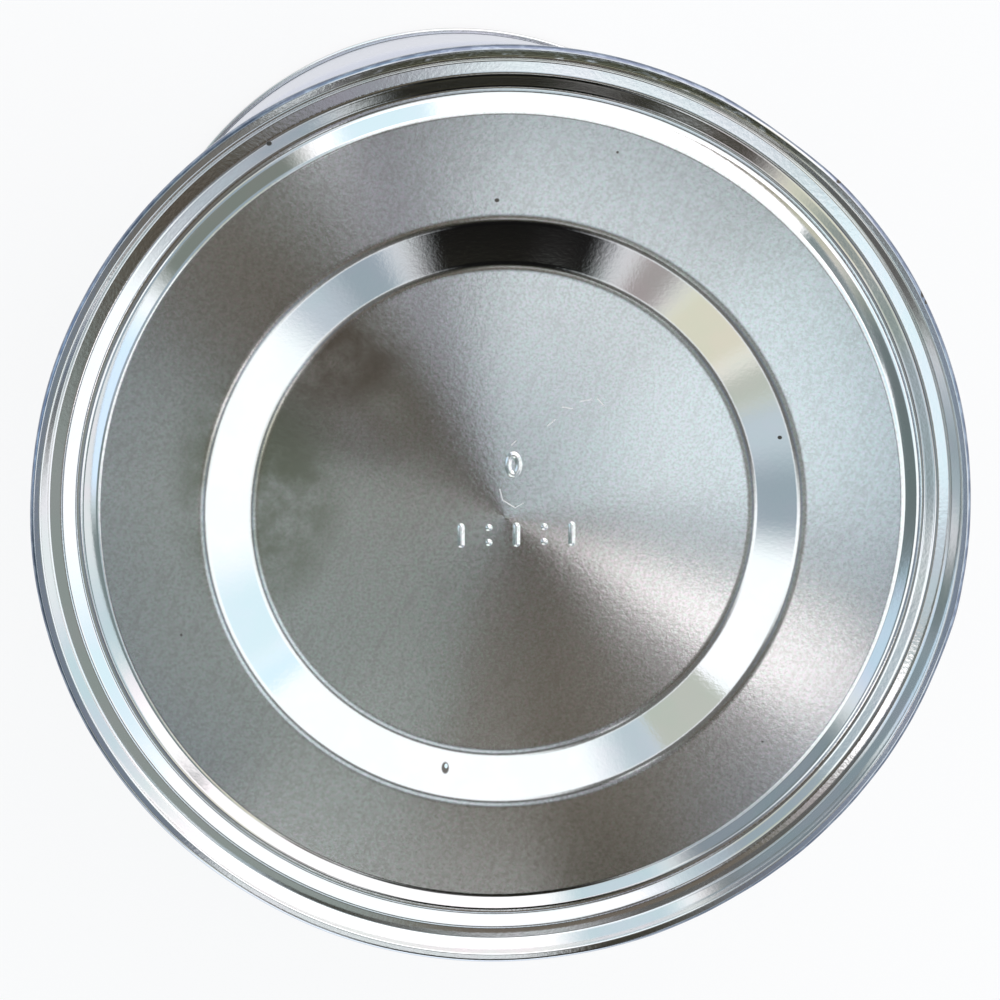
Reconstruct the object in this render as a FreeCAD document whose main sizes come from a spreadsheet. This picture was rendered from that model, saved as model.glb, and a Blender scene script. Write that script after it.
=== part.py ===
"""A sealed round food can: a rolled tinplate wall, closed at each side by a seamed end.

The can stands on its lower seam. Z is its axis, and z = 0 is the plane it stands on.
Each end is one pressed sheet. From the rim inwards it has the folded seam, the steep chuck
wall, a narrow ledge, a shallow channel, a flat panel, and a sloped step down to a sunk well
whose middle is crowned by a fraction of a millimetre. The wall and what it holds are one
closed solid: its two faces follow the undersides of the ends, and its thin rims stand up
into the seams.
"""
import FreeCAD, Part
import Sketcher
import os

# Driving dimensions in millimetres: alias, value, meaning
DIMENSIONS = [
    ("can_height", 119.1, "crest of the lower seam to crest of the upper seam"),
    ("seam_radius", 51.6, "can axis to the outside of the seam"),
    ("seam_tall", 3.0, "seam, crest to lower edge"),
    ("seam_thick", 1.25, "crest of the seam, outside to the chuck wall"),
    ("crest_round_out", 0.55, "rounding of the crest towards the outside"),
    ("crest_round_in", 0.2, "rounding of the crest towards the chuck wall"),
    ("hem_round", 0.35, "rounding of the seam's lower outer edge"),
    ("end_sheet", 0.22, "tinplate of the ends"),
    ("wall_sheet", 0.2, "tinplate of the wall"),
    ("rim_reach", 0.8, "how far the wall's rim stands up into the seam"),
    ("chuck_lean", 0.4, "how far the chuck wall leans in from crest to foot"),
    ("foot_depth", 3.1, "crest of the seam to the foot of the chuck wall"),
    ("foot_round", 0.25, "inside bend at the foot of the chuck wall"),
    ("ledge_width", 1.53, "foot of the chuck wall to the inner edge of the ledge"),
    ("ledge_fall", 0.05, "how much lower the ledge's inner edge is than its foot"),
    ("bank_width", 1.32, "outer bank of the channel"),
    ("channel_width", 0.73, "floor of the channel"),
    ("channel_depth", 0.85, "floor of the channel below the panel"),
    ("rise_width", 1.82, "inner bank of the channel, up to the panel"),
    ("panel_depth", 2.95, "crest of the seam to the panel"),
    ("panel_width", 11.35, "flat panel, channel to step"),
    ("step_width", 5.3, "sloped step, measured across"),
    ("step_drop", 1.91, "panel to the edge of the well"),
    ("well_crown", 0.25, "middle of the well above its edge"),
    ("channel_bend", 1.2, "inside radius of the bends along the channel"),
    ("step_bend", 3.5, "inside radius of the bends above and below the step"),
]

# Radii of an end's rings, each worked out from the one outside it
CHUCK = "dims.seam_radius - dims.seam_thick"
FOOT = f"{CHUCK} - dims.chuck_lean"
LEDGE = f"{FOOT} - dims.ledge_width"
CHANNEL_OUT = f"{LEDGE} - dims.bank_width"
CHANNEL_IN = f"{CHANNEL_OUT} - dims.channel_width"
PANEL = f"{CHANNEL_IN} - dims.rise_width"
STEP = f"{PANEL} - dims.panel_width"
WELL = f"{STEP} - dims.step_width"
WALL_IN = f"{CHUCK} + dims.end_sheet"
WALL_OUT = f"{WALL_IN} + dims.wall_sheet"

# Rings of the sunk face, from the middle outwards: name, radius, depth below the crest.
# The middle lies on the axis and so has no radius.
RINGS = [
    ("middle", None, "dims.panel_depth + dims.step_drop - dims.well_crown"),
    ("well", WELL, "dims.panel_depth + dims.step_drop"),
    ("step", STEP, "dims.panel_depth"),
    ("panel", PANEL, "dims.panel_depth"),
    ("channel_in", CHANNEL_IN, "dims.panel_depth + dims.channel_depth"),
    ("channel_out", CHANNEL_OUT, "dims.panel_depth + dims.channel_depth"),
    ("ledge", LEDGE, "dims.foot_depth + dims.ledge_fall"),
]

# Bends of the sunk face: name, rings, whether the outside is hollow there, inside radius
BENDS = [
    ("WellBend", ["well"], True, "dims.step_bend"),
    ("StepBend", ["step"], False, "dims.step_bend"),
    ("FloorBends", ["channel_in", "channel_out"], True, "dims.channel_bend"),
    ("EdgeBends", ["panel", "ledge"], False, "dims.channel_bend"),
]
RIM_DEPTH = "dims.seam_tall - dims.rim_reach"
TOLERANCE = 1e-4  # millimetres, for finding an edge at a corner of its outline


def make_sheet(doc):
    """The spreadsheet that holds the driving dimensions, one alias a row."""
    sheet = doc.addObject("Spreadsheet::Sheet", "dims")
    for row, (alias, value, meaning) in enumerate(DIMENSIONS, start=1):
        sheet.set(f"A{row}", meaning)
        sheet.set(f"B{row}", str(value))
        sheet.setAlias(f"B{row}", alias)
    doc.recompute()


def below_crest(depth):
    """Height of a depth where the crest lies at z = 0 and the end faces up."""
    return f"-({depth})"


def below_top(depth):
    """Height of a depth that is measured down from the can's upper crest."""
    return f"dims.can_height - ({depth})"


def above_floor(depth):
    """Height of a depth that is measured up from the can's lower crest."""
    return depth


def under_face(side, height):
    """Corners of the face that an end's underside and the contents share, middle first."""
    corners = [
        (side + name, radius, height(f"{depth} + dims.end_sheet"))
        for name, radius, depth in RINGS
    ]
    under_foot = height("dims.foot_depth + dims.end_sheet")
    corners.append((side + "foot", f"{FOOT} + dims.end_sheet", under_foot))
    corners.append((side + "rim_in", WALL_IN, height(RIM_DEPTH)))
    return corners


def draw_outline(body, name, corners):
    """A closed outline of straight lines on the body's XZ plane.

    corners holds (name, radius or None on the axis, height), and two constraints that carry
    a corner's name hold it.
    """
    sketch = body.newObject("Sketcher::SketchObject", name)
    plane = next(f for f in body.Origin.OriginFeatures if f.Role == "XZ_Plane")
    sketch.AttachmentSupport = [(plane, "")]
    sketch.MapMode = "FlatFace"
    points = [
        FreeCAD.Vector(body.evalExpression(radius or "0"), body.evalExpression(up), 0)
        for _, radius, up in corners
    ]
    count = len(corners)
    for i in range(count):
        sketch.addGeometry(Part.LineSegment(points[i], points[(i + 1) % count]), False)
    for i, (corner, radius, up) in enumerate(corners):
        sketch.addConstraint(Sketcher.Constraint("Coincident", (i - 1) % count, 2, i, 1))
        if radius:
            hold(sketch, "DistanceX", i, corner + "_radius", radius)
        else:
            sketch.addConstraint(Sketcher.Constraint("PointOnObject", i, 1, -2))
        hold(sketch, "DistanceY", i, corner + "_height", up)
    body.Document.recompute()
    return sketch


def hold(sketch, kind, line, name, expression):
    """Holds a line's start point by a named constraint that follows an expression."""
    size = sketch.evalExpression(expression)
    number = sketch.addConstraint(Sketcher.Constraint(kind, line, 1, size))
    sketch.renameConstraint(number, name)
    sketch.setExpression(f"Constraints.{name}", expression)


def revolve(body, sketch):
    """Turns the outline about the can's axis."""
    turned = body.newObject("PartDesign::Revolution", "Turned")
    turned.Profile = sketch
    turned.ReferenceAxis = (sketch, ["V_Axis"])
    turned.Angle = 360
    body.Document.recompute()


def round_rings(body, sketch, name, corners, radius):
    """Rounds the circular edges that the named corners of the outline have made."""
    base = body.Tip
    edges = []
    for corner in corners:
        ring_radius = sketch.getDatum(corner + "_radius").Value
        ring_height = sketch.getDatum(corner + "_height").Value
        found = [
            f"Edge{i}"
            for i, edge in enumerate(base.Shape.Edges, start=1)
            if is_ring(edge, ring_radius, ring_height)
        ]
        if len(found) != 1:
            raise RuntimeError(f"{body.Label}: corner {corner} has {len(found)} edges")
        edges += found
    fillet = body.newObject("PartDesign::Fillet", name)
    fillet.Base = (base, edges)
    fillet.setExpression("Radius", radius)
    body.Document.recompute()


def is_ring(edge, radius, height):
    """True if the edge is a circle of that radius about the axis at that height."""
    curve = edge.Curve
    if not isinstance(curve, Part.Circle):
        return False
    return abs(curve.Radius - radius) < TOLERANCE and abs(curve.Center.z - height) < TOLERANCE


def make_end(doc, label):
    """One pressed end with its seam. Its crest lies at z = 0 and its outside faces up."""
    body = doc.addObject("PartDesign::Body", label)
    body.Label = label
    face = [("top_" + name, radius, below_crest(depth)) for name, radius, depth in RINGS]
    seam = [
        ("foot", FOOT, below_crest("dims.foot_depth")),
        ("crest_in", CHUCK, "0"),
        ("crest_out", "dims.seam_radius", "0"),
        ("hem", "dims.seam_radius", below_crest("dims.seam_tall")),
        ("neck", WALL_OUT, below_crest("dims.seam_tall")),
        ("rim_out", WALL_OUT, below_crest(RIM_DEPTH)),
    ]
    under = under_face("under_", below_crest)
    outline = draw_outline(body, "EndOutline", face + seam + under[::-1])
    revolve(body, outline)
    for name, rings, hollow, radius in BENDS:
        inner, outer = ("top_", "under_") if hollow else ("under_", "top_")
        inside = [inner + ring for ring in rings]
        outside = [outer + ring for ring in rings]
        round_rings(body, outline, name + "Inside", inside, radius)
        round_rings(body, outline, name + "Outside", outside, f"{radius} + dims.end_sheet")
    round_rings(body, outline, "FootBend", ["foot"], "dims.foot_round")
    round_rings(body, outline, "CrestOutside", ["crest_out"], "dims.crest_round_out")
    round_rings(body, outline, "CrestInside", ["crest_in"], "dims.crest_round_in")
    round_rings(body, outline, "HemRound", ["hem"], "dims.hem_round")
    return body


def make_body(doc, label):
    """The wall with what the can holds, from the underside of one end to that of the other."""
    body = doc.addObject("PartDesign::Body", label)
    body.Label = label
    upper = under_face("upper_", below_top)
    lower = under_face("lower_", above_floor)
    rims = [
        ("upper_rim_out", WALL_OUT, below_top(RIM_DEPTH)),
        ("lower_rim_out", WALL_OUT, above_floor(RIM_DEPTH)),
    ]
    outline = draw_outline(body, "BodyOutline", upper + rims + lower[::-1])
    revolve(body, outline)
    for name, rings, hollow, radius in BENDS:
        corners = [side + ring for side in ("upper_", "lower_") for ring in rings]
        under = f"{radius} + dims.end_sheet" if hollow else radius
        round_rings(body, outline, name, corners, under)
    return body


def check(doc, bodies):
    """Stops before anything is written if a feature failed or a solid isn't whole."""
    for item in doc.Objects:
        if {"Invalid", "Error"} & set(item.State):
            raise RuntimeError(f"{item.Name} failed: {item.State}")
    for body in bodies:
        shape = body.Shape
        if shape.isNull() or not shape.isValid() or len(shape.Solids) != 1:
            raise RuntimeError(f"{body.Label} isn't one valid solid")


def main():
    doc = FreeCAD.newDocument("FoodCan")
    make_sheet(doc)
    upper = make_end(doc, "upper_end")
    upper.setExpression("Placement.Base.z", "dims.can_height")
    lower = make_end(doc, "lower_end")
    turned_over = FreeCAD.Rotation(FreeCAD.Vector(1, 0, 0), 180)
    lower.Placement = FreeCAD.Placement(FreeCAD.Vector(0, 0, 0), turned_over)
    body = make_body(doc, "can_body")
    doc.recompute()
    bodies = [upper, body, lower]
    check(doc, bodies)
    os.makedirs("parts", exist_ok=True)
    for body in bodies:
        body.Shape.exportStep(f"parts/{body.Label}.step")
        box = body.Shape.BoundBox
        print(f"{body.Label}: {body.Shape.Volume:.1f} mm3, z {box.ZMin:.2f} to {box.ZMax:.2f}")


main()
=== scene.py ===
"""A sealed round tinplate coffee can that stands on its lower seam, on a pale floor.

Each end is turned from one outline, and so is the wall. Lengths in the outlines are millimetres.
The bright metal mirrors a studio of soft coloured panels, which are part of the scene's light.
"""
import math
import bpy
from mathutils import Matrix, Vector, noise


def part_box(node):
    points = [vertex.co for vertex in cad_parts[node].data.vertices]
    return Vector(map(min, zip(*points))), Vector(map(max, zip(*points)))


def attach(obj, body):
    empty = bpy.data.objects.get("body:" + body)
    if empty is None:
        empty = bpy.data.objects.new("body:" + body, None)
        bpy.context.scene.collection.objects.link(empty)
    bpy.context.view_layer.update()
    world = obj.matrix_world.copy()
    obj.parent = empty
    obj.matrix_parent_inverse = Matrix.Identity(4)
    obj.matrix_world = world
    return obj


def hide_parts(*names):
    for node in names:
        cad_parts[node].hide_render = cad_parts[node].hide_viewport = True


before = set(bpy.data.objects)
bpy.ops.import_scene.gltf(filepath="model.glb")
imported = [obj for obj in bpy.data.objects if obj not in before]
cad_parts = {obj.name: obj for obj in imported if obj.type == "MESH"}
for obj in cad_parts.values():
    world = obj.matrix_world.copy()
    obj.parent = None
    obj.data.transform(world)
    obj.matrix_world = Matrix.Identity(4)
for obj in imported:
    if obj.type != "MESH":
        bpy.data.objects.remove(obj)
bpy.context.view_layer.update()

MM = 0.001
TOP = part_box("upper_end")[1].z / MM
SEAM_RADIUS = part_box("upper_end")[1].x / MM

# The pressed end: radii from the axis, depths below the seam's crest
END_SHEET = 0.22
WALL_SHEET = 0.2
SEAM_THICK = 1.25
CHUCK_LEAN = 0.4
CHUCK_RADIUS = SEAM_RADIUS - SEAM_THICK
FOOT_RADIUS = CHUCK_RADIUS - CHUCK_LEAN
WALL_RADIUS = CHUCK_RADIUS + END_SHEET + WALL_SHEET
SEAM_TALL = 3.0
RIM_REACH = 0.8    # how far the wall's rim stands up into the seam
FOOT_DEPTH = 3.1
LEDGE_DEPTH = FOOT_DEPTH + 0.05
PANEL_DEPTH = 2.95
CHANNEL_DEPTH = PANEL_DEPTH + 0.85
WELL_DEPTH = PANEL_DEPTH + 1.91
WELL_CROWN = 0.25
WELL_RADIUS = 27.9
STEP_RADIUS = 33.2
PANEL_RADIUS = 44.55
CHANNEL_IN = 46.37
CHANNEL_OUT = 47.1
LEDGE_RADIUS = 48.42
STEP_BEND = 3.5
CHANNEL_BEND = 1.2
FOOT_BEND = 0.25
CREST_BEND_IN = 0.2
CREST_BEND_OUT = 0.55
HEM_BEND_OUT = 0.35
HEM_BEND_IN = 0.1

# The lathe
LONGEST_RUN = 1.3
BEND_STEP = 4    # degrees
EASE = 0.05    # length of the short straight that follows a bend
TURN_STEPS = 384

# Wear of the upper end
KNOCK_DEPTH = 0.3
LIFT_HEIGHT = 0.1
WAVE_DEPTH = 0.02
RIPPLE_DEPTH = 0.012
SAG_DEPTH = 0.02
SAG_SPREAD = 14
DIMPLE = Vector((-14.5, 11.5))
DIMPLE_DEPTH = 0.05
DIMPLE_RADIUS = 3.5


# ---------------------------------------------------------------- shader maths

class Value:
    """A node's output that takes part in sums. Each sum adds one Math node."""

    def __init__(self, graph, socket):
        self.graph, self.socket = graph, socket

    def __add__(self, other):
        return self.graph.math("ADD", self, other)

    def __sub__(self, other):
        return self.graph.math("SUBTRACT", self, other)

    def __rsub__(self, other):
        return self.graph.math("SUBTRACT", other, self)

    def __mul__(self, other):
        return self.graph.math("MULTIPLY", self, other)

    def __truediv__(self, other):
        return self.graph.math("DIVIDE", self, other)

    def __abs__(self):
        return self.graph.math("ABSOLUTE", self)

    __radd__ = __add__
    __rmul__ = __mul__


class Graph:
    """The nodes of one material or world."""

    def __init__(self, owner):
        owner.use_nodes = True
        self.tree = owner.node_tree
        self.tree.nodes.clear()

    def add(self, kind, settings=None, sockets=None, out=0):
        """Adds a node: its settings first, then the values or links of its sockets."""
        node = self.tree.nodes.new("ShaderNode" + kind)
        for name, setting in (settings or {}).items():
            setattr(node, name, setting)
        for name, given in (sockets or {}).items():
            if isinstance(given, Value):
                self.tree.links.new(given.socket, node.inputs[name])
            else:
                node.inputs[name].default_value = given
        return Value(self, node.outputs[out]) if node.outputs else node

    def math(self, operation, *terms):
        return self.add("Math", {"operation": operation}, dict(enumerate(terms)))

    def dot(self, vector, fixed):
        return self.add("VectorMath", {"operation": "DOT_PRODUCT"}, {0: vector, 1: fixed}, 1)

    def stretch(self, vector, by):
        return self.add("VectorMath", {"operation": "MULTIPLY"}, {0: vector, 1: by})

    def fade(self, value, start, end):
        """0 at start and 1 at end, with a smooth run between them."""
        return self.add("MapRange", {"interpolation_type": "SMOOTHSTEP"},
                        {"Value": value, "From Min": start, "From Max": end})

    def within(self, value, low, high, soft):
        """1 between low and high and 0 outside them."""
        return self.fade(value, low - soft, low + soft) * self.fade(value, high + soft, high - soft)

    def blend(self, below, above, mask):
        """A colour laid over another where the mask is 1."""
        below, above = (c if isinstance(c, Value) else (*c, 1) for c in (below, above))
        return self.add("Mix", {"data_type": "RGBA"}, {0: mask, 6: below, 7: above}, 2)

    def noise(self, where, scale, detail=2.0, rough=0.5):
        return self.add("TexNoise", {}, {"Vector": where, "Scale": scale, "Detail": detail,
                                         "Roughness": rough})


# ---------------------------------------------------------------- studio

PALE = (0.95, 0.96, 0.97)
GLARE = (2.0, 1.93, 1.97)
BRIGHT = (1.34, 1.4, 1.45)
ICE = (0.95, 1.17, 1.28)
SKY_BLUE = (0.95, 1.2, 1.45)
HAZE = (0.66, 0.77, 0.85)
MIST = (0.5, 0.54, 0.6)
STEEL_BLUE = (0.4, 0.49, 0.56)
TEAL_GREY = (0.24, 0.3, 0.31)
MOSS_GREY = (0.25, 0.28, 0.25)
PALE_MOSS = (0.64, 0.69, 0.62)
CREAM = (0.9, 0.88, 0.72)
TAUPE = (0.48, 0.44, 0.44)
LILAC_GREY = (0.38, 0.38, 0.44)
SAGE_GREY = (0.34, 0.385, 0.37)
GREY_BROWN = (0.28, 0.285, 0.26)
BLUE_GREY = (0.22, 0.27, 0.36)
BROWN = (0.19, 0.165, 0.135)
UMBER = (0.07, 0.058, 0.045)
DUSK = (0.17, 0.17, 0.165)
NIGHT = (0.05, 0.048, 0.035)
BLACK = (0.006, 0.006, 0.006)

HORIZON = (0.1, 0.2)    # the pale band at the horizon fades out between these heights
MIRRORED_TURN, MIRRORED_TILT = 285, 13    # what a level surface mirrors to the camera

# The studio's soft panels stand in rings about the mirrored direction, each ring over the ones
# before it. A ring is its inside, its outside and its soft edge; a panel is its colour, turn
# round that direction, half width and soft edge, in degrees.
RINGS = [
    ((42, 90, 3), [(GLARE, 70, 50, 10)]),
    ((-9, 19, 2), [
        (DUSK, 0, 180, 1),
        (STEEL_BLUE, 306, 5, 5),
        (HAZE, 318, 8, 5),
    ]),
    ((-9, 26, 2), [
        (DUSK, 250, 60, 10),
        (DUSK, 130, 30, 10),
    ]),
    ((51, 90, 4), [
        (ICE, 106, 9, 4),
        (MOSS_GREY, 134, 15, 4),
        (SKY_BLUE, 170, 14, 5),
        (TEAL_GREY, 205, 20, 6),
        (STEEL_BLUE, 309, 25, 7),
    ]),
    ((57, 63, 1), [(TEAL_GREY, 25, 12, 2)]),
    ((64.5, 90, 1), [(STEEL_BLUE, 134, 17, 6)]),
    ((28, 48, 1.5), [
        (ICE, 16, 12, 8),
        (HAZE, 120, 8, 7),
        (PALE_MOSS, 133, 9, 1.5),
        (HAZE, 198, 14, 5),
        (PALE_MOSS, 214, 5, 4),
        (CREAM, 229, 10, 5),
        (TAUPE, 244, 5, 4),
        (HAZE, 306, 6, 5),
        (STEEL_BLUE, 297, 6, 4),
        (BLACK, 270, 18, 5),
    ]),
    ((34.5, 42, 1), [
        (MIST, 306, 12, 5),
        (NIGHT, 265, 26, 5),
        (DUSK, 262, 3, 4),
    ]),
    ((28, 33.5, 1), [
        (STEEL_BLUE, 187, 9, 6),
        (SKY_BLUE, 29, 2, 3),
    ]),
    ((39, 57, 1.5), [
        (TEAL_GREY, 198, 34, 6),
        (STEEL_BLUE, 145, 24, 6),
    ]),
    ((14, 31, 2), [(BLACK, 271, 15, 6)]),
    ((11, 19, 1), [(NIGHT, 268, 25, 6)]),
    ((11.5, 15.5, 0.3), [
        (BLUE_GREY, 190, 42, 10),
        (BLUE_GREY, 342, 40, 10),
        (NIGHT, 81, 33, 6),
        (BRIGHT, 116, 4, 2),
    ]),
    ((11.6, 13.2, 0.3), [(BRIGHT, 255, 22, 5)]),
    ((-9, 11, 0.4), [
        (SAGE_GREY, 0, 180, 1),
        (ICE, 12, 28, 10),
        (HAZE, 67, 26, 10),
        (MIST, 96, 4, 6),
        (LILAC_GREY, 111, 9, 7),
        (BROWN, 141, 15, 12),
        (BROWN, 284, 26, 8),
        (TAUPE, 315, 5, 4),
        (GLARE, 328, 7, 4),
        (HAZE, 347, 6, 6),
    ]),
    ((5.4, 7.4, 0.4), [
        (BRIGHT, 38, 54, 12),
        (UMBER, 145, 26, 12),
        (MIST, 348, 4, 4),
    ]),
    ((-9, 4.6, 1), [
        (GREY_BROWN, 200, 45, 15),
        (HAZE, 40, 48, 12),
        (UMBER, 283, 43, 9),
        (TAUPE, 332, 8, 5),
        (MIST, 348, 6, 5),
        (UMBER, 138, 28, 9),
    ]),
]


def aim(turn, tilt):
    """The direction that leans from straight up by tilt, towards turn, both in degrees."""
    turn, tilt = math.radians(turn), math.radians(tilt)
    level = math.sin(tilt)
    return Vector((level * math.cos(turn), level * math.sin(turn), math.cos(tilt)))


def make_sky():
    world = bpy.data.worlds.new("studio_sky")
    bpy.context.scene.world = world
    g = Graph(world)
    direction = g.add("TexCoord", out="Generated")
    centre = aim(MIRRORED_TURN, MIRRORED_TILT)
    side = (Vector((1, 0, 0)) - centre * centre.x).normalized()
    up = centre.cross(side)
    away = g.math("ARCCOSINE", g.dot(direction, centre)) * math.degrees(1)
    turn = g.math("ARCTAN2", g.dot(direction, up), g.dot(direction, side)) * math.degrees(1)

    sky = BRIGHT
    for bounds, panels in RINGS:
        ring = g.within(away, *bounds)
        for colour, middle, half, soft in panels:
            off = abs(g.math("WRAP", turn - middle, 180.0, -180.0))
            sky = g.blend(sky, colour, g.fade(off, half + soft, max(half - soft, 0)) * ring)
    level = g.fade(g.dot(direction, (0, 0, 1)), HORIZON[1], HORIZON[0])
    sky = g.blend(sky, PALE, level)
    light = g.add("Background", {}, {"Color": sky, "Strength": 1.0})
    g.add("OutputWorld", {}, {"Surface": light})


def make_floor():
    """A pale floor that is near white where it is seen or mirrored, and still takes a shadow."""
    reach = 3.0
    glow_share = 0.82
    mesh = bpy.data.meshes.new("floor")
    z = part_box("lower_end")[0].z
    corners = [(-reach, -reach, z), (reach, -reach, z), (reach, reach, z), (-reach, reach, z)]
    mesh.from_pydata(corners, [], [(0, 1, 2, 3)])
    floor = bpy.data.objects.new("floor", mesh)
    bpy.context.collection.objects.link(floor)
    white = bpy.data.materials.new("white_floor")
    g = Graph(white)
    seen = g.add("LightPath", out="Is Camera Ray") + g.add("LightPath", out="Is Glossy Ray")
    seen = seen + g.add("LightPath", out="Is Transmission Ray")
    paint = g.add("BsdfDiffuse", {}, {"Color": (0.9, 0.9, 0.9, 1)})
    glow = g.add("Emission", {}, {"Color": (1, 1, 1, 1), "Strength": 1.0})
    g.add("OutputMaterial", {}, {"Surface": g.add(
        "MixShader", {}, {0: g.math("MINIMUM", seen, 1.0) * glow_share, 1: paint, 2: glow})})
    mesh.materials.append(white)


def make_camera():
    """Looks down on the upper end from a little to one side, and nearly at its middle."""
    turn, tilt = 105.4, 14.28
    distance = 0.23736
    target_depth = 0.85
    data = bpy.data.cameras.new("camera")
    data.lens, data.sensor_width = 77.94, 36.0
    camera = bpy.data.objects.new("camera", data)
    bpy.context.collection.objects.link(camera)
    back = aim(turn, tilt)
    target = Vector((0, 0, (TOP - target_depth) * MM))
    right = Vector((0, 1, 0)).cross(back).normalized()
    above = back.cross(right)
    pan, tip = math.radians(0.177), math.radians(-0.654)
    turned = Matrix.Rotation(pan, 3, above)
    back_now, right = turned @ back, turned @ right
    turned = Matrix.Rotation(-tip, 3, right)
    back_now, above = turned @ back_now, turned @ above
    pose = Matrix((right, above, back_now)).transposed().to_4x4()
    camera.matrix_world = Matrix.Translation(target + back * distance) @ pose
    bpy.context.scene.camera = camera


# ---------------------------------------------------------------- outlines and lathe

def round_corners(corners):
    """Points along an outline of straight runs. A corner is (radius, height, bend radius)."""
    points = []
    for i, (radius, height, bend) in enumerate(corners):
        here = Vector((radius, height))
        if not bend:
            points.append(here)
            continue
        before = (Vector(corners[i - 1][:2]) - here).normalized()
        after = (Vector(corners[i + 1][:2]) - here).normalized()
        half = before.angle(after) / 2
        reach = bend / math.tan(half)
        middle = here + (before + after).normalized() * bend / math.sin(half)
        first, last = here + before * reach - middle, here + after * reach - middle
        swing = math.pi - 2 * half
        steps = max(4, round(math.degrees(swing) / BEND_STEP))
        points.append(here + before * (reach + EASE))
        for k in range(steps + 1):
            a, b = (1 - k / steps) * swing, k / steps * swing
            points.append(middle + (math.sin(a) * first + math.sin(b) * last) / math.sin(swing))
        points.append(here + after * (reach + EASE))
    return divide_runs(points)


def divide_runs(points):
    """Adds points to the long straight runs, so that they can carry faint dents."""
    filled = [points[0]]
    for start, end in zip(points, points[1:]):
        steps = math.ceil((end - start).length / LONGEST_RUN)
        filled += [start.lerp(end, k / steps) for k in range(1, steps + 1)]
    return filled


def sunk_face(under):
    """Corners of the end from the axis to the foot of the chuck wall, outside or underside."""
    drop = END_SHEET if under else 0
    hollow, proud = (END_SHEET, 0) if under else (0, END_SHEET)
    return [
        (0, WELL_CROWN - WELL_DEPTH - drop, 0),
        (WELL_RADIUS, -WELL_DEPTH - drop, STEP_BEND + hollow),
        (STEP_RADIUS, -PANEL_DEPTH - drop, STEP_BEND + proud),
        (PANEL_RADIUS, -PANEL_DEPTH - drop, CHANNEL_BEND + proud),
        (CHANNEL_IN, -CHANNEL_DEPTH - drop, CHANNEL_BEND + hollow),
        (CHANNEL_OUT, -CHANNEL_DEPTH - drop, CHANNEL_BEND + hollow),
        (LEDGE_RADIUS, -LEDGE_DEPTH - drop, CHANNEL_BEND + proud),
    ]


def end_outline():
    """The outside of an end, from the axis over the seam's crest to the wall below it."""
    seam = [
        (FOOT_RADIUS, -FOOT_DEPTH, FOOT_BEND),
        (CHUCK_RADIUS, 0, CREST_BEND_IN),
        (SEAM_RADIUS, 0, CREST_BEND_OUT),
        (SEAM_RADIUS, -SEAM_TALL, HEM_BEND_OUT),
        (WALL_RADIUS, -SEAM_TALL, HEM_BEND_IN),
        (WALL_RADIUS, RIM_REACH - SEAM_TALL, 0),
    ]
    return round_corners(sunk_face(False) + seam)


def wall_outline():
    """The contents' lower face, the wall and the contents' upper face, lower axis first."""
    face = sunk_face(True) + [(FOOT_RADIUS + END_SHEET, -FOOT_DEPTH - END_SHEET, 0),
                              (CHUCK_RADIUS + END_SHEET, RIM_REACH - SEAM_TALL, 0),
                              (WALL_RADIUS, RIM_REACH - SEAM_TALL, 0)]
    upper = [(p.x, TOP + p.y) for p in round_corners(face)]
    lower = [(p.x, -p.y) for p in round_corners(face)]
    return [Vector(p) for p in lower + upper[::-1]]


def bulge(angle, middle, half):
    """A smooth hump of height 1 about an angle, all in degrees."""
    off = abs((angle - middle + 180) % 360 - 180) / half
    return (1 + math.cos(math.pi * off)) / 2 if off < 1 else 0


def sheet_wear(point, angle):
    """Knocks in the seam, faint waves in the flats and a shallow dimple in the well."""
    def wave(times, start=0):
        return math.sin(math.radians(angle * times + start))

    on_seam = min(max(point.x - CHUCK_RADIUS, 0), 1)
    knock = KNOCK_DEPTH * bulge(angle, 55, 11)
    waves = WAVE_DEPTH * wave(11) + WAVE_DEPTH * wave(17, 40)
    ripple = RIPPLE_DEPTH * wave(47, 20) * bulge(angle, 310, 60)
    lift = LIFT_HEIGHT * bulge(angle, 347, 6)
    inwards = on_seam * (knock + 2 * WAVE_DEPTH + waves + ripple - lift)
    a = math.radians(angle)
    spot = Vector((point.x * math.cos(a), point.x * math.sin(a)))
    on_flats = min(max((LEDGE_RADIUS - point.x) / 3, 0), 1)
    sag = SAG_DEPTH * noise.noise(Vector((spot.x / SAG_SPREAD, spot.y / SAG_SPREAD, 3.7)))
    sag += DIMPLE_DEPTH * math.exp(-((spot - DIMPLE).length / DIMPLE_RADIUS) ** 2)
    return Vector((point.x - inwards, point.y - on_flats * sag))


def lathe(name, outline, material, wear=None, place=Matrix()):
    """Turns an outline about the can's axis into a smooth mesh. Its left side is the outside."""
    verts, rows = [], []
    for point in outline:
        if point.x < 1e-6:
            rows.append([len(verts)] * TURN_STEPS)
            verts.append(place @ Vector((0, 0, point.y * MM)))
            continue
        rows.append(range(len(verts), len(verts) + TURN_STEPS))
        for k in range(TURN_STEPS):
            angle = 360 * k / TURN_STEPS
            at = wear(point, angle) if wear else point
            a = math.radians(angle)
            verts.append(place @ (Vector((at.x * math.cos(a), at.x * math.sin(a), at.y)) * MM))
    faces = []
    for inner, outer in zip(rows, rows[1:]):
        for k in range(TURN_STEPS):
            n = (k + 1) % TURN_STEPS
            loop = (inner[k], outer[k], outer[n], inner[n])
            faces.append(tuple(dict.fromkeys(loop)))
    return add_piece(name, verts, faces, material)


def add_piece(name, verts, faces, material):
    mesh = bpy.data.meshes.new(name)
    mesh.from_pydata(verts, [], faces)
    mesh.validate()
    mesh.shade_smooth()
    mesh.materials.append(material)
    piece = bpy.data.objects.new(name, mesh)
    bpy.context.collection.objects.link(piece)
    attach(piece, "root")
    return piece


# ---------------------------------------------------------------- stamped marks

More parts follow.
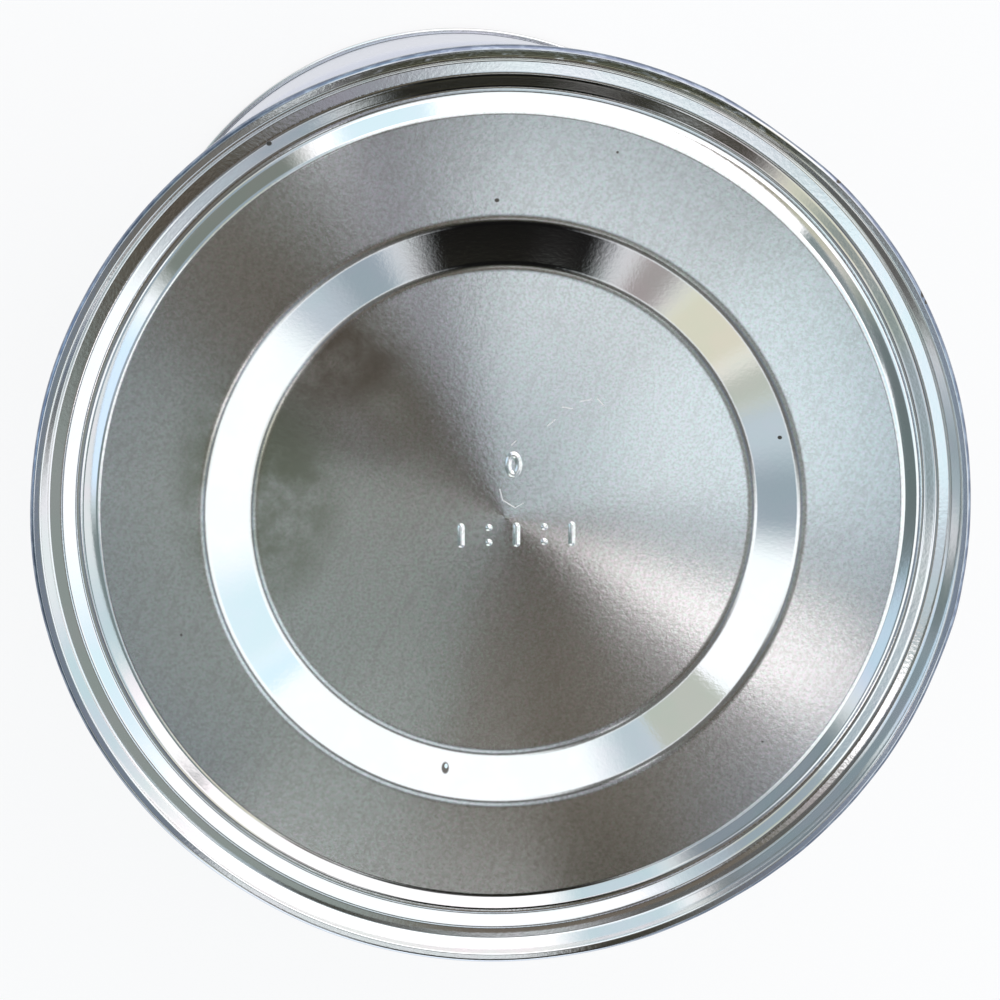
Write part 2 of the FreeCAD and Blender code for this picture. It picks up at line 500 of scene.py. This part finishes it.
RELIEF = 0.22    # millimetres that the marks stand proud
ROOT = 0.015    # millimetres that their edges are sunk into the well
STROKE = 1.0
OVAL_STROKE = 0.85 * STROKE
OVAL_MIDDLE = (1.0, 5.9)
OVAL_WIDE, OVAL_TALL = 2.2, 3.2
DOT_RISE = 0.85
MARK_TALL = 3.0
MARK_PITCH = 3.1
MARK_COUNT = 5
ROW_LEFT, ROW_HEIGHT = -4.85, -2.1


def well_height(x, y):
    """Height of the upper well's surface in millimetres."""
    return TOP - WELL_DEPTH + WELL_CROWN * (1 - math.hypot(x, y) / WELL_RADIUS)


def ridge(verts, faces, x, y, tall):
    """A low rounded bar with round ends, upright in the can's X and Y."""
    around, across = 28, 7
    base = len(verts)
    for ring in range(across):
        out = STROKE / 2 * (1 - ring / (across - 1)) + 0.01
        up = RELIEF * (1 - math.cos(math.pi * ring / (across - 1))) / 2 - ROOT
        for k in range(around):
            a = 2 * math.pi * (k + 0.5) / around
            end = math.copysign(max(tall - STROKE, 0) / 2, math.sin(a))
            px, py = x + out * math.cos(a), y + end + out * math.sin(a)
            verts.append(Vector((px, py, well_height(px, py) + up)) * MM)
    for ring in range(across - 1):
        for k in range(around):
            n = (k + 1) % around
            a, b = base + ring * around, base + (ring + 1) * around
            faces.append((a + k, a + n, b + n, b + k))
    faces.append(tuple(base + (across - 1) * around + k for k in range(around)))


def oval_ridge(verts, faces, x, y, wide, tall):
    """A low rounded closed oval."""
    around, across = 48, 9
    base = len(verts)
    for k in range(around):
        a = 2 * math.pi * k / around
        for ring in range(across):
            share = ring / (across - 1) - 0.5
            off = OVAL_STROKE * share
            up = RELIEF * (1 + math.cos(2 * math.pi * share)) / 2 - ROOT
            px = x + ((wide - STROKE) / 2 + off) * math.cos(a)
            py = y + ((tall - STROKE) / 2 + off) * math.sin(a)
            verts.append(Vector((px, py, well_height(px, py) + up)) * MM)
    for k in range(around):
        n = (k + 1) % around
        for ring in range(across - 1):
            faces.append((base + k * across + ring, base + k * across + ring + 1,
                          base + n * across + ring + 1, base + n * across + ring))


def stamped_marks(metal):
    """A plain oval above a row of plain bars and pairs of dots, all pressed into the well."""
    verts, faces = [], []
    oval_ridge(verts, faces, *OVAL_MIDDLE, OVAL_WIDE, OVAL_TALL)
    for place in range(MARK_COUNT):
        x = ROW_LEFT + MARK_PITCH * place
        if place % 2:
            for rise in (-DOT_RISE, DOT_RISE):
                ridge(verts, faces, x, ROW_HEIGHT + rise, 0)
        else:
            ridge(verts, faces, x, ROW_HEIGHT, MARK_TALL)
    marks = add_piece("stamped_marks", verts, faces, metal)


def side_weld(metal):
    """The wall's welded overlap, a low strip from seam to seam on the side away from the camera."""
    across, middle_turn, half_turn = 8, 285, 0.9
    height, root, tuck = 0.15, 0.02, 0.2
    low, high = SEAM_TALL - tuck, TOP - SEAM_TALL + tuck
    verts, faces = [], []
    for z in (low, high):
        for k in range(across + 1):
            off = k / across * 2 - 1
            radius = WALL_RADIUS - root + height * math.cos(off * math.pi / 2)
            a = math.radians(middle_turn + half_turn * off)
            verts.append(Vector((radius * math.cos(a), radius * math.sin(a), z)) * MM)
    for k in range(across):
        faces.append((k, k + 1, across + 2 + k, across + 1 + k))
    weld = add_piece("side_weld", verts, faces, metal)


# ---------------------------------------------------------------- finishes

def speck(g, x, y, at, wide, tall, core=0.4):
    """A small oval patch with a soft edge."""
    across, along = (x - at[0]) / wide, (y - at[1]) / tall
    return g.fade(across * across + along * along, 1.0, core)


def scratch(g, x, y, start, end, width):
    """A thin straight line from start to end."""
    dx, dy = end[0] - start[0], end[1] - start[1]
    px, py = x - start[0], y - start[1]
    along = (px * dx + py * dy) / (dx * dx + dy * dy)
    along = g.math("MINIMUM", g.math("MAXIMUM", along, 0.0), 1.0)
    ex, ey = px - along * dx, py - along * dy
    return g.fade(ex * ex + ey * ey, width * width, 0.0)


def most(g, masks):
    """The highest of several masks."""
    top = masks[0]
    for mask in masks[1:]:
        top = g.math("MAXIMUM", top, mask)
    return top


# Dirt specks on the upper end: place, half width and half height
SPECKS = [
    ((-0.9, 35.2), 0.3, 0.25), ((30.5, 8.8), 0.28, 0.25), ((45.0, 25.1), 0.3, 0.5),
    ((45.4, 24.2), 0.25, 0.3), ((35.4, 37.2), 0.35, 0.25), ((-25.0, 41.3), 0.35, 0.3),
    ((12.0, 40.2), 0.16, 0.16), ((-36.0, -12.5), 0.14, 0.18), ((29.4, -26.5), 0.16, 0.14),
]
# Faint stains on the upper end: place, half width and half height, and colour
STAINS = [
    (((-27.0, 4.0), 11.0, 17.0), (0.36, 0.37, 0.3)),
    (((-18.0, 19.0), 10.0, 8.0), (0.45, 0.41, 0.37)),
]
# Fine bright scratches: start, end and width
SCRATCHES = [
    ((6.4, 12.3), (7.6, 12.1), 0.09), ((8.4, 12.9), (9.6, 13.1), 0.08),
    ((10.3, 13.2), (11.0, 12.4), 0.1), ((4.8, 10.2), (5.6, 10.9), 0.07),
    ((-0.5, 3.1), (-0.2, 1.9), 0.1), ((-0.2, 1.9), (1.2, 1.0), 0.1),
    ((1.2, 1.0), (2.1, 1.5), 0.07), ((0.8, 8.1), (1.3, 8.6), 0.08),
]


COOL_TIN = (0.73, 0.75, 0.74)
WARM_TIN = (0.76, 0.745, 0.75)
PALE_TIN = (0.82, 0.82, 0.81)
GREEN_TINT = (0.67, 0.76, 0.69)
ROSE_TINT = (0.79, 0.7, 0.75)
GRAIN_GREY = (0.65, 0.65, 0.62)
STREAK_GREY = (0.64, 0.61, 0.6)
# Painted reflection on the upper seam: a darker and a paler grey-blue, and a painted highlight
PAINTED_SEAM_SHADE = (0.17, 0.2, 0.27)
PAINTED_SEAM_GREY = (0.31, 0.36, 0.44)
PAINTED_SEAM_HIGHLIGHT = (0.72, 0.77, 0.84)
# A painted dark reflection on the upper chuck wall
PAINTED_DARK_REFLECTION = (0.2, 0.19, 0.13)
# Painted shade under the upper seam
HEM_PAINTED_SHADE = (0.04, 0.04, 0.05)
# Painted shade at the lower end's standing edge
STANDING_EDGE_SHADE = (0.2, 0.18, 0.24)
DIRT = (0.12, 0.11, 0.1)
FLY_PALE = (0.6, 0.7, 0.75)
SCRATCH_WHITE = (0.98, 0.98, 0.98)
WALL_DARK = (0.62, 0.65, 0.75)
WALL_PALE = (0.69, 0.71, 0.8)


def end_tinplate():
    """Pressed tinplate: satin on its flats, near mirror on its slopes, and darker on the seam by
    painted reflection and painted shade.
    """
    material = bpy.data.materials.new("end_tinplate")
    g = Graph(material)
    where = g.add("TexCoord", out="Object")
    mm = g.stretch(where, (1000, 1000, 1000))
    x, y = g.dot(mm, (1, 0, 0)), g.dot(mm, (0, 1, 0))
    radius = g.math("SQRT", x * x + y * y)
    height = g.dot(mm, (0, 0, 1))
    upper = g.fade(height, TOP / 2 - 1, TOP / 2 + 1)
    slope = g.within(radius, WELL_RADIUS + 0.2, STEP_RADIUS - 0.2, 0.4)
    slope = slope + g.fade(radius, PANEL_RADIUS - 0.3, PANEL_RADIUS + 0.3)
    flat = 1 - slope
    across, along = g.dot(mm, (0.42, 0.91, 0)), g.dot(mm, (0.91, -0.42, 0))
    streaks = g.noise(g.add("CombineXYZ", {}, {0: across * 0.25, 1: along}), 1.0, 4.0, 0.65)
    cloud = g.noise(mm, 0.16, 4.0, 0.6)
    colour = g.blend(COOL_TIN, WARM_TIN, g.fade(cloud, 0.35, 0.65))
    colour = g.blend(colour, PALE_TIN, 0.6 * flat)
    tint = g.blend(GREEN_TINT, ROSE_TINT, g.fade(g.noise(mm, 2.6), 0.35, 0.65))
    colour = g.blend(colour, tint, 0.5 * flat)
    grain = g.fade(g.noise(mm, 3.0, 2.0, 0.7), 0.42, 0.66)
    colour = g.blend(colour, GRAIN_GREY, grain * flat)
    colour = g.blend(colour, STREAK_GREY, g.fade(streaks, 0.45, 0.9) * flat)
    outer = g.fade(radius, CHUCK_RADIUS + 0.6, CHUCK_RADIUS + 0.9)
    turn = g.math("ARCTAN2", y, x) * math.degrees(1)
    # Painted reflection: the upper seam is a noise-mottled dark grey-blue, with a painted highlight
    # on the side about turn 252
    painted_highlight_side = g.fade(abs(g.math("WRAP", turn - 252, 180.0, -180.0)), 48, 20)
    round_seam = g.add("CombineXYZ", {}, {0: turn * 0.7, 1: radius * 2.5, 2: height * 2.5})
    seam_mottle = g.noise(round_seam, 1.0, 3.0)
    painted_seam_reflection = g.blend(PAINTED_SEAM_SHADE, PAINTED_SEAM_GREY, g.fade(seam_mottle, 0.4, 0.7))
    colour = g.blend(colour, g.blend(painted_seam_reflection, PAINTED_SEAM_HIGHLIGHT, painted_highlight_side), outer * upper)
    # Painted reflection: a dark olive band on the chuck wall and foot between turns 50 and 110,
    # broken up by noise
    dark_reflection_mask = g.within(radius, FOOT_RADIUS, CHUCK_RADIUS + 0.6, 0.15)
    dark_reflection_mask = dark_reflection_mask * g.within(turn, 50, 110, 8) * g.fade(seam_mottle, 0.2, 0.5)
    colour = g.blend(colour, PAINTED_DARK_REFLECTION, dark_reflection_mask * upper)
    # Painted shade: the underside of the upper seam, where it meets the wall, is made near black
    hem_shade = g.within(height, TOP - SEAM_TALL - 0.4, TOP - SEAM_TALL + 0.5, 0.15)
    hem_shade = hem_shade * g.fade(radius, WALL_RADIUS - 0.2, WALL_RADIUS)
    colour = g.blend(colour, HEM_PAINTED_SHADE, hem_shade)
    # Painted shade: the lower seam is darker within a millimetre of the floor
    colour = g.blend(colour, STANDING_EDGE_SHADE, g.fade(height, 1.0, 0.7))
    for stain, tint in STAINS:
        patch = speck(g, x, y, *stain, 0.0) * g.fade(cloud, 0.25, 0.6) * flat
        colour = g.blend(colour, tint, patch * upper)
    specks = most(g, [speck(g, x, y, *spot) for spot in SPECKS])
    fly = speck(g, x, y, (-6.8, -29.2), 0.5, 0.75)
    colour = g.blend(colour, DIRT, g.math("MAXIMUM", specks, fly))
    colour = g.blend(colour, FLY_PALE, speck(g, x, y, (-6.7, -29.0), 0.22, 0.3))
    lines = most(g, [scratch(g, x, y, *line) for line in SCRATCHES])
    colour = g.blend(colour, SCRATCH_WHITE, lines)
    rough = 0.12 - 0.06 * slope + 0.08 * outer
    rough = rough + 0.35 * g.math("MAXIMUM", lines, specks)
    pits = g.noise(mm, 2.2, 3.0, 0.6)
    normal = g.add("Bump", {}, {"Strength": 0.03, "Distance": 0.0001, "Height": pits})
    shader = g.add("BsdfPrincipled", {}, {
        "Base Color": colour, "Metallic": 1.0, "Roughness": rough, "Anisotropic": 0.85,
        "Anisotropic Rotation": 0.25, "Normal": normal})
    g.add("OutputMaterial", {}, {"Surface": shader})
    return material


def wall_tinplate():
    """Bare rolled tinplate with fine lines round the can."""
    material = bpy.data.materials.new("wall_tinplate")
    g = Graph(material)
    mm = g.stretch(g.add("TexCoord", out="Object"), (1000, 1000, 1000))
    lines = g.noise(g.stretch(mm, (0.05, 0.05, 6.0)), 1.0, 3.0, 0.6)
    colour = g.blend(WALL_DARK, WALL_PALE, g.fade(lines, 0.3, 0.7))
    rough = 0.28 + 0.06 * lines
    normal = g.add("Bump", {}, {"Strength": 0.1, "Distance": 0.0002, "Height": lines})
    shader = g.add("BsdfPrincipled", {}, {
        "Base Color": colour, "Metallic": 1.0, "Roughness": rough, "Anisotropic": 0.3,
        "Normal": normal})
    g.add("OutputMaterial", {}, {"Surface": shader})
    return material


# ---------------------------------------------------------------- making

def main():
    bpy.context.scene.view_settings.view_transform = "Standard"
    make_camera()
    make_sky()
    make_floor()
    end_metal, wall_metal = end_tinplate(), wall_tinplate()
    upper = lathe("upper_end_pressing", end_outline(), end_metal, sheet_wear,
                  Matrix.Translation((0, 0, TOP * MM)))
    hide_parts("upper_end")
    lower = lathe("lower_end_pressing", end_outline(), end_metal, None,
                  Matrix.Rotation(math.pi, 4, "X"))
    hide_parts("lower_end")
    wall = lathe("rolled_wall", wall_outline(), wall_metal)
    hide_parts("can_body")
    stamped_marks(end_metal)
    side_weld(wall_metal)


main()
